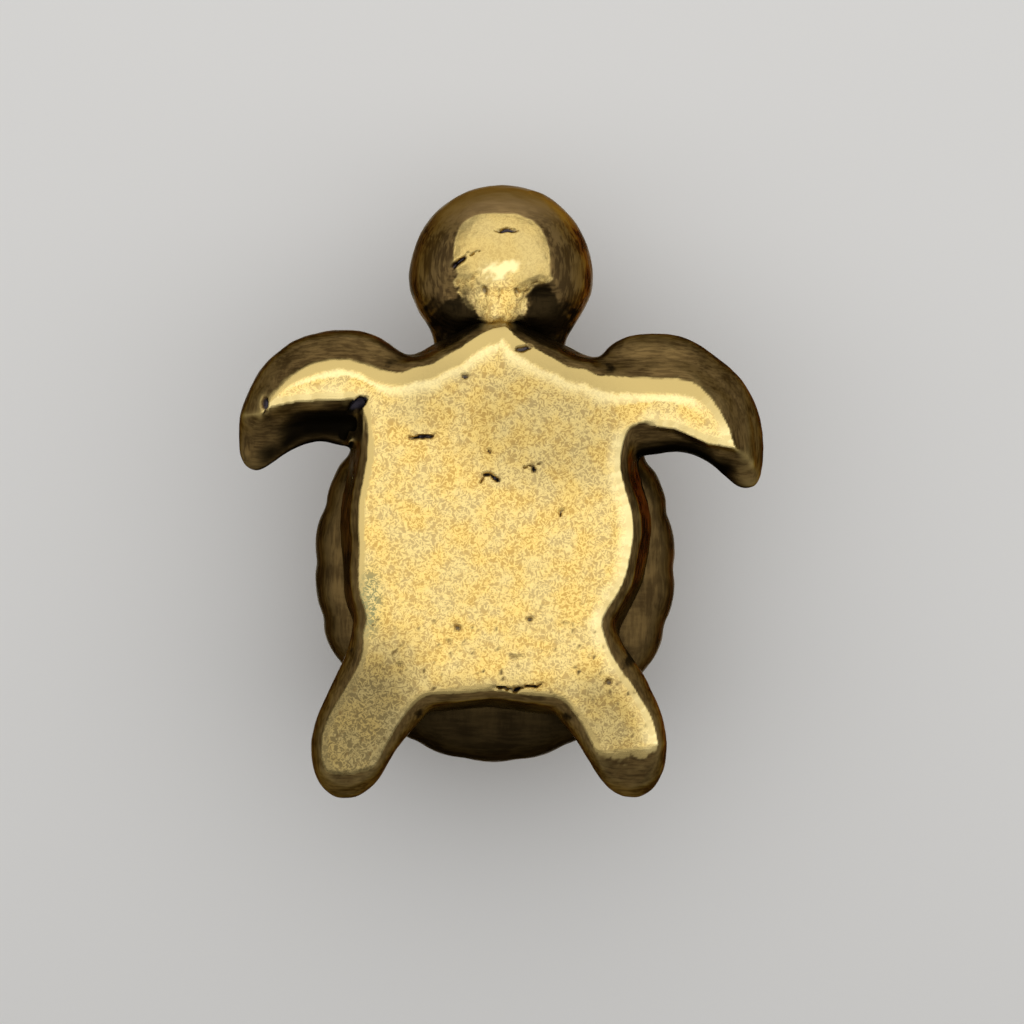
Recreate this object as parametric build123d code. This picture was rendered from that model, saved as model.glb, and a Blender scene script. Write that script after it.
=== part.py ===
from build123d import *

import os
from math import cos, radians, sin, sqrt

# A small solid brass turtle, cast and then ground flat underneath.
# Millimetres, +Z up. The ground belly is the plane Z = 0, the head points to -Y and the turtle's left is +X.

# Belly plate
PLATE_LENGTH = 16.6
PLATE_WIDTH = 12.6
PLATE_THICKNESS = 2.4
PLATE_FRONT_Y = -7.45
PLATE_FLARE = 0.9
PLATE_EDGE_HEIGHT = 0.35
PLATE_EDGE_SPREAD = 0.35
LIMB_SEAM_MARGIN = 0.1

# Shell
SHELL_LENGTH = 18.8
SHELL_SETBACK = 1.5
SKIRT_HEIGHT = 2.0
SKIRT_OVERHANG = 1.3
DOME_HEIGHT = 7.2

# Seams between the scutes of the shell
SEAM_WIDTH = 0.42
SEAM_DEPTH = 0.32
MARGIN_HEIGHT = 1.3
MARGINAL_COUNT = 22

# Head
HEAD_DIAMETER = 8.6
HEAD_REACH = 2.45
HEAD_CENTRE_Z = 3.95
HEAD_FLAT_DEPTH = 0.5
HEAD_FLAT_TILT = 4.0
MOUTH_WIDTH = 0.4
MOUTH_DEPTH = 0.3
MOUTH_RISE = 0.4
THROAT_HOLLOW_DIAMETER = 2.0
THROAT_WIDTH = 1.7

# Eyes
EYE_DIAMETER = 1.8
EYE_STAND_OUT = 0.45
EYE_AZIMUTH = 50.0
EYE_ELEVATION = 28.0

# Neck, from a seam behind the middle of the head back into the body
NECK_START = 2.4
NECK_LENGTH = 4.2
NECK_WIDTH = 6.2
NECK_HEIGHT = 6.0

# Fore flippers
LEFT_FLIPPER_LENGTH = 8.6
RIGHT_FLIPPER_LENGTH = 8.25
FLIPPER_WIDTH = 5.4
FLIPPER_THICKNESS = 4.4
RIGHT_FLIPPER_RAISE = 0.06
RIGHT_FLIPPER_ADVANCE = 0.15

# Hind feet
LEFT_FOOT_LENGTH = 7.3
RIGHT_FOOT_LENGTH = 7.6
FOOT_WIDTH = 4.75
FOOT_THICKNESS = 3.7

# How far a cutting shape reaches past what it cuts
OVERRUN = 5.0

# Belly outline on one side, from the shoulder back to the rear, as shares of half the width and of the length
SHOULDER_SHARE = (0.63, 0.13)
ARMPIT_SHARE = (0.97, 0.28)
FLANK_SHARES = ((0.95, 0.38), (1.0, 0.49), (0.98, 0.63), (0.90, 0.77), (0.86, 0.87))
GROIN_SHARE = (0.43, 1.02)
REAR_SHARE = (0.0, 1.0)
FLIPPER_ROOT_SHARE = (0.476, 0.232)
FOOT_ROOT_SHARE = (0.476, 0.828)

# Limb stations from root to tip: spine as shares of the length, then section width, thickness and centre height
# as shares of the limb's width and thickness
FLIPPER_SPINE_SHARES = (
    (0.0, 0.0), (0.26, -0.03), (0.53, -0.10), (0.765, -0.02), (0.92, 0.16), (0.985, 0.33), (0.995, 0.385)
)
FLIPPER_WIDTH_SHARES = (0.93, 0.91, 1.0, 0.85, 0.55, 0.28, 0.10)
FLIPPER_THICK_SHARES = (1.0, 1.0, 1.0, 0.95, 0.75, 0.44, 0.16)
FLIPPER_LIFT_SHARES = (0.44, 0.45, 0.455, 0.44, 0.40, 0.37, 0.36)
FOOT_SPINE_SHARES = ((0.0, 0.0), (0.235, 0.345), (0.39, 0.6), (0.46, 0.82), (0.46, 0.97), (0.455, 1.05))
FOOT_WIDTH_SHARES = (1.0, 1.0, 0.87, 0.75, 0.52, 0.14)
FOOT_THICK_SHARES = (1.0, 1.0, 0.93, 0.83, 0.54, 0.16)
FOOT_LIFT_SHARES = (0.36, 0.36, 0.31, 0.29, 0.32, 0.33)

# Corners of the vertebral scutes on one side, front to rear, and the outer ends of the costal seams, as shares of
# the shell's half width and half length
VERTEBRAL_SHARES = (
    (0.36, -0.90),
    (0.25, -0.55),
    (0.41, -0.37),
    (0.27, -0.19),
    (0.42, -0.01),
    (0.27, 0.17),
    (0.40, 0.345),
    (0.23, 0.52),
    (0.34, 0.90),
)
COSTAL_END_SHARES = ((0.88, -0.455), (0.99, 0.005), (0.89, 0.44))

# Values that follow from the sizes above
SEAT_Z = PLATE_THICKNESS
RIM_Z = SEAT_Z + SKIRT_HEIGHT
RIM_RADIUS = PLATE_WIDTH / 2 + PLATE_FLARE + SKIRT_OVERHANG
SHELL_STRETCH = SHELL_LENGTH / (2 * RIM_RADIUS)
SHELL_CENTRE_Y = PLATE_FRONT_Y + SHELL_SETBACK + SHELL_LENGTH / 2
HEAD_RADIUS = HEAD_DIAMETER / 2
HEAD_CENTRE = Vector(0, PLATE_FRONT_Y - HEAD_REACH, HEAD_CENTRE_Z)
NECK_FRONT_Y = HEAD_CENTRE.Y + NECK_START


def plate_point(share, side=1, spread=0.0):
    """Place of one belly outline point on one side of the turtle, pushed outwards by a spread."""
    middle_y = PLATE_FRONT_Y + PLATE_LENGTH / 2
    return side * share[0] * (PLATE_WIDTH / 2 + spread), middle_y + (share[1] - 0.5) * (PLATE_LENGTH + 2 * spread)


def plate_outline(height, spread):
    """Level outline of the belly plate: straight front edges, curved flanks and a shallow notch at the rear."""
    front = plate_point((0, 0), spread=spread)
    rear = plate_point(REAR_SHARE, spread=spread)
    edges = []
    for side in (1, -1):
        shoulder = plate_point(SHOULDER_SHARE, side, spread)
        armpit = plate_point(ARMPIT_SHARE, side, spread)
        groin = plate_point(GROIN_SHARE, side, spread)
        flank = [armpit] + [plate_point(share, side, spread) for share in FLANK_SHARES]
        edges += [Line(front, shoulder), Line(shoulder, armpit), Spline(*flank), Line(flank[-1], groin)]
        edges += [Line(groin, rear)]
    return Pos(0, 0, height) * make_face(edges)


def make_plate():
    """Belly plate with a bevelled lower edge and a wall that leans out up to the shell's seat."""
    levels = ((0, 0), (PLATE_EDGE_HEIGHT, PLATE_EDGE_SPREAD), (PLATE_THICKNESS, PLATE_FLARE))
    return loft([plate_outline(height, spread) for height, spread in levels], ruled=True)


def make_limb(root, length, width, thickness, shares, side, lift=0.0):
    """Limb of elliptical sections along a curved spine, ground flat where it dips below the belly plane."""
    spine_shares, width_shares, thick_shares, lift_shares = shares
    spots = []
    for (out, back), rise in zip(spine_shares, lift_shares):
        spots.append(Vector(side * (root[0] + out * length), root[1] + back * length, rise * thickness + lift))
    sections = []
    for index, spot in enumerate(spots):
        ahead = spots[min(index + 1, len(spots) - 1)] - spots[max(index - 1, 0)]
        plane = Plane(origin=spot, x_dir=Vector(-ahead.Y, ahead.X, 0), z_dir=ahead)
        sections.append(plane * Ellipse(width_shares[index] * width / 2, thick_shares[index] * thickness / 2))
    return split(loft(sections), bisect_by=Plane.XY, keep=Keep.TOP)


def limb_seam(inner_share, outer_share, side):
    """Upright plane just outside the plate's wall between two belly outline points, facing away from the belly."""
    start = Vector(*plate_point(inner_share, side))
    along = Vector(*plate_point(outer_share, side)) - start
    facing = Vector(along.Y, -along.X, 0)
    if facing.dot(start - Vector(0, PLATE_FRONT_Y + PLATE_LENGTH / 2, 0)) < 0:
        facing = facing * -1
    return Plane(origin=start, z_dir=facing).offset(PLATE_FLARE + LIMB_SEAM_MARGIN)


def make_fore_flipper(side):
    """Whole fore flipper, root included. The right one is shorter, further forward and ground a little less."""
    shares = (FLIPPER_SPINE_SHARES, FLIPPER_WIDTH_SHARES, FLIPPER_THICK_SHARES, FLIPPER_LIFT_SHARES)
    length, advance, lift = LEFT_FLIPPER_LENGTH, 0, 0
    if side < 0:
        length, advance, lift = RIGHT_FLIPPER_LENGTH, RIGHT_FLIPPER_ADVANCE, RIGHT_FLIPPER_RAISE
    root_x, root_y = plate_point(FLIPPER_ROOT_SHARE)
    return make_limb((root_x, root_y - advance), length, FLIPPER_WIDTH, FLIPPER_THICKNESS, shares, side, lift)


def make_hind_foot(side):
    """Whole hind foot, root included."""
    shares = (FOOT_SPINE_SHARES, FOOT_WIDTH_SHARES, FOOT_THICK_SHARES, FOOT_LIFT_SHARES)
    length = LEFT_FOOT_LENGTH if side > 0 else RIGHT_FOOT_LENGTH
    return make_limb(plate_point(FOOT_ROOT_SHARE), length, FOOT_WIDTH, FOOT_THICKNESS, shares, side)


def shell_body(inset=0.0):
    """Shell turned about its axis and stretched to its length; an inset gives the floor of the seams."""
    radius = RIM_RADIUS - inset
    height = DOME_HEIGHT - inset
    seat_radius = radius - SKIRT_OVERHANG
    with BuildSketch(Plane.XZ) as profile:
        with BuildLine():
            Line((0, SEAT_Z), (seat_radius, SEAT_Z))
            EllipticalCenterArc((seat_radius, RIM_Z), SKIRT_OVERHANG, SKIRT_HEIGHT, start_angle=-90)
            EllipticalCenterArc((0, RIM_Z), radius, height)
            Line((0, RIM_Z + height), (0, SEAT_Z))
        make_face()
    return scale(revolve(profile.sketch, axis=Axis.Z), by=(1, SHELL_STRETCH, 1))


def shell_spot(share, side=1):
    """Plan point of the shell from shares of its half width and half length."""
    return Vector(side * share[0] * RIM_RADIUS, share[1] * SHELL_LENGTH / 2)


def seam_strip(start, end):
    """Strip of one seam in plan, with round ends."""
    run = end - start
    turn = Vector(1, 0, 0).get_signed_angle(run, Vector(0, 0, 1))
    return Pos(*(start + end) / 2) * Rot(0, 0, turn) * SlotCenterToCenter(run.length, SEAM_WIDTH)


def scute_strips():
    """Plan strips of the seams between the vertebral and the costal scutes."""
    strips = []
    for share in VERTEBRAL_SHARES[1::2]:
        strips.append(seam_strip(shell_spot(share, -1), shell_spot(share)))
    for side in (1, -1):
        for near, far in zip(VERTEBRAL_SHARES, VERTEBRAL_SHARES[1:]):
            strips.append(seam_strip(shell_spot(near, side), shell_spot(far, side)))
        for inner, outer in zip(VERTEBRAL_SHARES[2::2], COSTAL_END_SHARES):
            strips.append(seam_strip(shell_spot(inner, side), shell_spot(outer, side)))
    return strips


def marginal_strips():
    """Plan strips of the seams across the margin, evenly spaced round the rim."""
    strips = []
    for index in range(MARGINAL_COUNT):
        angle = radians(360 * (index + 0.5) / MARGINAL_COUNT)
        outward = Vector(sin(angle), SHELL_STRETCH * cos(angle), 0)
        strips.append(seam_strip(outward * (RIM_RADIUS - SKIRT_OVERHANG), outward * (RIM_RADIUS + SEAM_WIDTH)))
    return strips


def make_carapace():
    """Domed shell with sunk seams between its scutes, a ring seam above its margin and a notched rim."""
    ring_radius = RIM_RADIUS * sqrt(1 - (MARGIN_HEIGHT / DOME_HEIGHT) ** 2)
    ring_z = RIM_Z + MARGIN_HEIGHT
    ring = Pos(0, 0, ring_z) * Torus(ring_radius, SEAM_WIDTH / 2)
    core = shell_body(SEAM_DEPTH)
    scutes = extrude(Pos(0, 0, ring_z) * (Sketch() + scute_strips()), amount=DOME_HEIGHT + OVERRUN)
    margin = extrude(Pos(0, 0, SEAT_Z) * (Sketch() + marginal_strips()), amount=SKIRT_HEIGHT + MARGIN_HEIGHT)
    shell = shell_body() - scale(ring, by=(1, SHELL_STRETCH, 1)) - (scutes - core) - (margin - core)
    return Pos(0, SHELL_CENTRE_Y, 0) * shell


def make_head(plate):
    """Ball with a flat underneath, a hollow each side of the throat and a mouth line, cut where the plate meets it."""
    flat = Plane.XY.rotated((HEAD_FLAT_TILT, 0, 0)).offset(HEAD_FLAT_DEPTH - HEAD_RADIUS)
    ball = split(Sphere(HEAD_RADIUS), bisect_by=flat, keep=Keep.TOP)
    lip_radius = sqrt(HEAD_RADIUS**2 - MOUTH_RISE**2)
    mouth = Cylinder(HEAD_RADIUS, MOUTH_WIDTH) - Cylinder(lip_radius - MOUTH_DEPTH, MOUTH_WIDTH)
    ball -= split(Pos(0, 0, MOUTH_RISE) * mouth, bisect_by=Plane.XZ, keep=Keep.TOP)
    hollow = Sphere(THROAT_HOLLOW_DIAMETER / 2)
    across = (THROAT_WIDTH + THROAT_HOLLOW_DIAMETER) / 2
    along = NECK_START - THROAT_HOLLOW_DIAMETER / 2
    for side in (1, -1):
        ball -= Pos(side * across, along, HEAD_FLAT_DEPTH - HEAD_RADIUS) * hollow
    head = Pos(*HEAD_CENTRE) * ball - plate
    return split(head, bisect_by=Plane((0, NECK_FRONT_Y, 0), z_dir=(0, -1, 0)), keep=Keep.TOP)


def make_eye(side, head):
    """Bead eye sunk into the upper front of the head."""
    azimuth = radians(EYE_AZIMUTH)
    elevation = radians(EYE_ELEVATION)
    outward = Vector(side * sin(azimuth) * cos(elevation), -cos(azimuth) * cos(elevation), sin(elevation))
    centre = HEAD_CENTRE + outward * (HEAD_RADIUS + EYE_STAND_OUT - EYE_DIAMETER / 2)
    return Pos(*centre) * Sphere(EYE_DIAMETER / 2) - head


def make_neck():
    """Short neck from the seam behind the head back into the body."""
    section = Plane(origin=(0, NECK_FRONT_Y, HEAD_CENTRE_Z), x_dir=(1, 0, 0), z_dir=(0, 1, 0))
    return extrude(section * Ellipse(NECK_WIDTH / 2, NECK_HEIGHT / 2), amount=NECK_LENGTH)


def make_turtle():
    """All members by name, each one cut where it meets the members that it grows from."""
    plate = make_plate()
    shell = Pos(0, SHELL_CENTRE_Y, 0) * shell_body()
    plastron = plate
    pieces = {"carapace": make_carapace(), "head": make_head(plate)}
    for side, name in ((1, "left"), (-1, "right")):
        pieces[f"{name}_eye"] = make_eye(side, pieces["head"])
        shoulder = limb_seam(SHOULDER_SHARE, ARMPIT_SHARE, side)
        hip = limb_seam(FLANK_SHARES[-1], GROIN_SHARE, side)
        for limb, seam, node in (
            (make_fore_flipper(side), shoulder, "fore_flipper"),
            (make_hind_foot(side), hip, "hind_foot"),
        ):
            plastron += split(limb, bisect_by=seam, keep=Keep.BOTTOM)
            pieces[f"{name}_{node}"] = split(limb, bisect_by=seam, keep=Keep.TOP) - shell
    pieces["plastron"] = plastron - shell
    pieces["neck"] = make_neck() - plastron - shell
    return pieces


os.makedirs("parts", exist_ok=True)
for node_name, piece in make_turtle().items():
    export_step(piece, f"parts/{node_name}.step")
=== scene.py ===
import math

import bpy
import numpy as np
from bpy.props import FloatProperty, FloatVectorProperty, IntProperty, PointerProperty
from mathutils import Matrix, Vector
from mathutils.bvhtree import BVHTree
from mathutils.kdtree import KDTree


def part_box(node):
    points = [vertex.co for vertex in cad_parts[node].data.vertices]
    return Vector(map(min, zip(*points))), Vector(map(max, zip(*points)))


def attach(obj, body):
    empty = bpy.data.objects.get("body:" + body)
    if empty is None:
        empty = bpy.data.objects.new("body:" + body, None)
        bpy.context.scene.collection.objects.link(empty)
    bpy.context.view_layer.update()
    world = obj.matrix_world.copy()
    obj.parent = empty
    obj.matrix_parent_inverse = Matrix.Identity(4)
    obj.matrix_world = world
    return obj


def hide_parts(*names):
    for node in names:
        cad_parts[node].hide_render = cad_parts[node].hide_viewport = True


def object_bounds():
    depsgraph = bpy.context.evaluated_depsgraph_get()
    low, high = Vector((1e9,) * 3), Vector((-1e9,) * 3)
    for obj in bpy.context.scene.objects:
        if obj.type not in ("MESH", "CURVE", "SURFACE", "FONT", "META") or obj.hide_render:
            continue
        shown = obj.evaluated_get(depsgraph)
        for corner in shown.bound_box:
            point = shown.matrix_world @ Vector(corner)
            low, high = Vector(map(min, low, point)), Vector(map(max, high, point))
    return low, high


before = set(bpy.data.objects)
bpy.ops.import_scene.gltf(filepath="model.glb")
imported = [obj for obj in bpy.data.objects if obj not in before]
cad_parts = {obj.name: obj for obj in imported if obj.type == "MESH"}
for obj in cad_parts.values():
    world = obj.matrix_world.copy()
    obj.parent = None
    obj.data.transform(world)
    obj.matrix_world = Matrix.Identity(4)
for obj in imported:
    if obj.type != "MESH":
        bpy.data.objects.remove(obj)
CAD_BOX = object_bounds()

bl_info = {
    "name": "Cast brass turtle",
    "version": (1, 0, 0),
    "blender": (4, 5, 0),
    "location": "3D View > Sidebar > Turtle",
    "description": "Dresses the solid turtle as an old brass casting with a ground belly, and sets its stage",
    "category": "Object",
}

# Pieces are shaped on a bench in millimetres and brought to metres when they are finished.
MM = 1000.0
LIMBS = ("left_fore_flipper", "right_fore_flipper", "left_hind_foot", "right_hind_foot")

# Where a limb flows into the plate, in bench millimetres: place in plan and reach.
LIMB_FLOWS = (
    (3.9, -5.4, 1.6),
    (-3.8, -5.4, 1.6),
    (6.2, -2.7, 1.5),
    (-6.2, -2.7, 0.9),
    (5.5, 6.7, 2.0),
    (-5.5, 6.7, 2.0),
    (2.7, 9.5, 1.2),
    (-2.9, 9.5, 1.4),
)

# Casting flaws: place in plan, half length, half width, turn in degrees, and depth as a share of the full
# flaw depth.
BELLY_FLAWS = (
    (1.11, -6.46, 0.42, 0.14, -12, 0.7),
    (-1.53, -5.13, 0.20, 0.12, 10, 0.7),
    (-3.42, -2.33, 0.68, 0.09, -7, 0.8),
    (-0.33, -1.74, 0.16, 0.06, 50, 0.6),
    (-0.67, -0.40, 0.24, 0.07, -78, 0.5),
    (-0.44, -0.71, 0.22, 0.08, -12, 0.8),
    (-0.06, -0.53, 0.28, 0.09, 45, 0.9),
    (1.66, -0.94, 0.13, 0.10, 60, 0.9),
    (1.45, -1.07, 0.30, 0.05, -5, 0.5),
    (1.90, -1.20, 0.22, 0.05, -20, 0.35),
    (2.90, 1.00, 0.20, 0.08, 75, 0.6),
    (3.02, 0.90, 0.10, 0.08, 0, 0.5),
    (-1.61, 6.29, 0.18, 0.15, 0, 0.6),
    (1.65, 5.86, 0.16, 0.12, -50, 0.6),
    (3.24, 6.05, 0.20, 0.14, 0, 0.3),
    (1.01, 7.59, 0.35, 0.12, 0, 0.4),
    (0.55, 8.98, 0.50, 0.06, 3, 0.7),
    (1.10, 9.03, 0.25, 0.09, -20, 0.9),
    (1.75, 8.86, 0.55, 0.06, -9, 0.8),
    (5.29, 8.63, 0.16, 0.14, 0, 0.6),
    (-4.20, 8.02, 0.15, 0.12, 0, 0.4),
    (-2.00, 6.98, 0.20, 0.10, 40, 0.4),
    (-6.35, -3.76, 0.46, 0.20, -38, 1.3),
    (-10.61, -3.67, 0.35, 0.14, 80, 0.9),
)
HEAD_FLAWS = (
    (0.22, -11.86, 0.50, 0.12, -4, 0.75),
    (-1.93, -10.31, 0.50, 0.12, -40, 0.8),
    (-1.25, -10.68, 0.40, 0.04, -22, 0.4),
    (1.55, -13.67, 0.30, 0.10, 20, 0.3),
    (-0.80, -9.00, 0.14, 0.20, 0, 0.55),
    (-0.10, -8.90, 0.10, 0.24, 10, 0.4),
    (0.78, -9.00, 0.18, 0.12, 30, 0.5),
)

# Dark places of the throat, grime in its pits and painted shade round them: place in plan, reach across and
# along, strength.
THROAT_SHADE_AND_GRIME = (
    (-1.66, -8.75, 0.28, 0.55, 0.8),
    (-1.45, -8.15, 0.40, 0.40, 0.9),
    (-2.00, -7.75, 0.70, 0.35, 0.5),
    (1.40, -9.58, 0.45, 0.16, 0.55),
    (1.85, -8.90, 0.40, 0.34, 0.9),
    (2.20, -8.50, 0.40, 0.36, 0.9),
    (1.70, -7.95, 0.60, 0.40, 0.6),
    (2.40, -7.70, 0.60, 0.35, 0.5),
)

# Dull areas of the belly, in the form of the flaws, with their strength instead of a depth: tarnished brass,
# and painted darker reflection where the flat belly mirrors less light.
BELLY_DULL_AREAS = (
    (2.0, -3.0, 4.4, 3.0, 15, 0.38),
    (-2.4, -4.2, 2.6, 1.8, -15, 0.26),
    (0.0, 9.3, 7.0, 0.9, 0, 0.40),
    (-6.3, 10.9, 4.4, 3.0, -65, 0.95),
    (5.2, 10.2, 2.4, 1.5, 60, 0.62),
)

# Line behind which the right fore flipper was left rough, front and rear line of the left one's facet, and
# places behind which the feet's tips lift off the ground.
FACET_END = ((-10.8, -3.15), (-10.34, -3.49), (-8.98, -3.79), (-6.72, -3.93), (-6.2, -3.90))
FACET_FRONT = (
    (4.0, -5.6),
    (5.0, -5.3),
    (8.6, -5.24),
    (9.2, -4.9),
    (10.05, -3.94),
    (11.0, -2.1),
    (11.9, 1.2),
)
FACET_REAR = ((6.7, -2.96), (8.0, -2.8), (9.5, -2.17), (10.8, -2.0))
TIP_LIFTS = ((-6.6, 12.8), (6.2, 11.5))

# Small pushes that give plate and flippers their uneven outline: place in plan, reach, direction and length.
PUSHES = (
    (5.6, 6.4, 2.8, "X", -0.6),
    (6.3, -0.9, 2.8, "X", -0.3),
    (-5.8, 5.0, 2.8, "X", -0.4),
    (-4.3, -4.9, 1.8, "Y", -0.4),
    (4.4, -4.7, 1.8, "Y", -0.45),
    (5.6, -6.6, 4.0, "Y", -0.28),
    (8.4, -6.6, 2.5, "Y", -0.22),
    (-0.2, -7.2, 1.6, "X", 0.3),
    (-0.6, -7.1, 1.6, "Y", -0.3),
)

# Right and left edge of the rubbed patch under the head, which also holds a painted reflection of a bright
# window: place along, from the head's centre, and across.
PATCH_RIGHT = ((-0.5, -2.2), (-0.2, -2.05), (0.9, -2.05), (1.4, -1.8), (1.8, -1.2), (2.1, -0.95))
PATCH_LEFT = ((-0.5, 2.2), (0.2, 2.3), (0.42, 2.2), (0.6, 1.6), (1.0, 1.35), (1.7, 1.25), (2.1, 1.05))

# Vertex weights are painted in this many steps.
WEIGHT_STEPS = 256

# About how many spots of a piece feel out its recesses, how far off the solid they start in bench
# millimetres, and from how many of them the others take their value.
RECESS_SPOTS = 7000
RECESS_START = 0.03
RECESS_NEIGHBOURS = 4

# Roughness of patina and rubbed metal, and what grain and the darkening of recesses, dark patina with painted
# shade, add to it.
PATINA_ROUGHNESS = 0.36
RUBBED_ROUGHNESS = 0.24
GRAIN_ROUGHNESS = 0.14
DARKENING_ROUGHNESS = 0.25

# Fineness of the ground belly's flecks per bench millimetre, height of the finish's bumps in metres, and tint
# of the metal at a glancing view.
GRAIN_SCALE = 4.5
BUMP_HEIGHT = 0.00004
GLANCE_TINT = (0.24, 0.215, 0.14, 1.0)

# Place on the belly that the camera looks at, and the gap between belly and floor, in metres.
VIEW_CENTRE = (0.000728, 0.000981)
FLOOR_GAP = 0.00002

# Soft lamps: place in metres, turn in radians, size in metres, and share of the lamp level.
LAMPS = {
    "under_lamp": ((0.02, -0.38, -0.12), (math.pi, 0, 0), (0.48, 0.90), 1.0),
    "top_lamp": ((0.10, -0.15, 0.40), (-0.36, 0.24, 0), (0.55, 0.55), 1.5),
}


def length_setting(name, description, default):
    """Length property in metres."""
    return FloatProperty(name=name, description=description, default=default, precision=5, unit="LENGTH")


def brass_colour(name, description, default):
    """Colour property of one finish."""
    return FloatVectorProperty(
        name=name, description=description, default=default, subtype="COLOR", min=0, max=1
    )


class TurtleSizes(bpy.types.PropertyGroup):
    """Sizes of the casting's skin."""

    belly_step: length_setting("Belly step", "Mesh step of plate and limbs", 0.00009)
    shell_step: length_setting("Shell step", "Mesh step of the shell", 0.00011)
    head_step: length_setting("Head step", "Mesh step of head and neck", 0.00008)
    eye_step: length_setting("Eye step", "Mesh step of the bead eyes", 0.00005)
    roll_width: length_setting("Roll width", "Width of the polished front edges", 0.00095)
    roll_rise: length_setting("Roll rise", "How far the front edges roll up", 0.00018)
    flipper_rise: length_setting("Flipper rise", "How far the left flipper rises beyond its facet", 0.00062)
    lift: length_setting("Lift", "How far rough ends lift off the ground", 0.0011)
    tongue_drop: length_setting("Tongue drop", "How far the throat comes down to the plate", 0.00028)
    tongue_reach: length_setting("Tongue reach", "How far the throat reaches back to the plate", 0.00035)
    wave_depth: length_setting("Wave depth", "Depth of the casting's soft waves", 0.00012)
    grain_depth: length_setting("Grain depth", "Depth of the grain on the belly", 0.00004)
    flaw_depth: length_setting("Flaw depth", "Depth of a full casting flaw", 0.00028)
    recess_reach: length_setting("Recess reach", "How far a wall darkens a recess", 0.005)
    ray_count: IntProperty(name="Recess rays", description="Rays that feel out a recess", default=24, min=4)


class TurtleColours(bpy.types.PropertyGroup):
    """Colours of the brass and of the stage."""

    pale: brass_colour("Pale fleck", "Bright flecks of the ground belly", (0.79, 0.605, 0.235))
    sunny: brass_colour("Sunny fleck", "Yellower flecks of the ground belly", (0.83, 0.595, 0.183))
    warm: brass_colour("Warm ground", "Brass between the flecks", (0.53, 0.33, 0.086))
    grey: brass_colour("Grey ground", "Duller brass between the flecks", (0.49, 0.355, 0.143))
    polished: brass_colour("Polished", "Smooth rubbed brass", (0.50, 0.37, 0.136))
    # painted_gleam is a painted highlight colour for edges and ridges that would catch the light
    painted_gleam: brass_colour("Gleam", "Edges and ridges that catch the light", (0.96, 0.804, 0.396))
    # dull_grey paints the dull areas: tarnished brass, and painted darker reflection on the belly
    dull_grey: brass_colour("Tarnish", "Greyer brass of the belly", (0.12, 0.09, 0.037))
    verdigris: brass_colour("Verdigris", "Greenish scuffed brass", (0.24, 0.228, 0.102))
    olive: brass_colour("Olive patina", "Lighter patina of the sides", (0.17, 0.108, 0.038))
    brown: brass_colour("Brown patina", "Darker patina of the sides", (0.04, 0.023, 0.008))
    # Painted sheen: lighter patina on the front of the ball, where polished brass mirrors the room
    tone_and_sheen: brass_colour("Tone_and_sheen", "Pale dull patina of the snout", (0.336, 0.216, 0.09))
    # Recess colour: dark patina of the hollows, and painted occlusion shade
    recess: brass_colour("Recess", "Dirt in the recesses", (0.0048, 0.0036, 0.0018))
    # Painted shade: the floors of flaws are painted dark blue-grey
    flaw_shade: brass_colour("Scratch", "Blue-grey floor of flaws", (0.042, 0.036, 0.0456))
    floor: brass_colour("Floor", "Pale floor", (0.86, 0.85, 0.83))
    backdrop: brass_colour("Backdrop", "Pale surroundings", (0.60, 0.60, 0.60))


class TurtleStage(bpy.types.PropertyGroup):
    """Camera and lamps."""

    distance: length_setting("Distance", "Camera to belly", 0.18)
    field: length_setting("Field", "Width seen on the belly", 0.04639)
    lean: FloatProperty(name="Lean", description="Camera roll", default=-0.0215, subtype="ANGLE")
    lamp_level: FloatProperty(name="Lamp level", description="Brightness of the soft lamps", default=0.83)
    fill_level: FloatProperty(name="Fill level", description="Brightness of the room", default=0.18)


def settings():
    """The scene's turtle settings."""
    scene = bpy.context.scene
    return scene.turtle_sizes, scene.turtle_colours, scene.turtle_stage


def pick(piece):
    """Make one object the only selected and active one."""
    bpy.ops.object.select_all(action="DESELECT")
    piece.select_set(True)
    bpy.context.view_layer.objects.active = piece


def bench_copy(name, *nodes):
    """Copy CAD nodes to the bench as one merged mesh in millimetres."""
    bpy.ops.object.select_all(action="DESELECT")
    for node in nodes:
        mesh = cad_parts[node].data.copy()
        mesh.materials.clear()
        mesh.transform(Matrix.Scale(MM, 4))
        part = bpy.data.objects.new(name, mesh)
        bpy.context.scene.collection.objects.link(part)
        part.select_set(True)
        bpy.context.view_layer.objects.active = part
    if len(nodes) > 1:
        bpy.ops.object.join()
    piece = bpy.context.view_layer.objects.active
    bpy.ops.object.mode_set(mode="EDIT")
    bpy.ops.mesh.select_all(action="SELECT")
    bpy.ops.mesh.remove_doubles(threshold=0.001)
    bpy.ops.object.mode_set(mode="OBJECT")
    return piece


def work(piece, kind, **values):
    """Add one modifier with these values and apply it."""
    pick(piece)
    modifier = piece.modifiers.new(kind.title(), kind)
    for key, value in values.items():
        setattr(modifier, key, value)
    bpy.ops.object.modifier_apply(modifier=modifier.name)


def skin(piece, step, rounds):
    """Give a bench piece one even skin of this step and round its edges."""
    work(piece, "REMESH", mode="VOXEL", voxel_size=step * MM, adaptivity=0)
    work(piece, "SMOOTH", factor=0.5, iterations=rounds)


def read(mesh, what="co"):
    """Places or normals of a mesh's vertices as rows."""
    values = np.empty(len(mesh.vertices) * 3, np.float32)
    mesh.vertices.foreach_get(what, values)
    return values.reshape(-1, 3).astype(float)


def ease(low, high, values):
    """Smooth step from 0 at low to 1 at high."""
    share = np.clip((values - low) / (high - low), 0, 1)
    return share * share * (3 - 2 * share)


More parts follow.
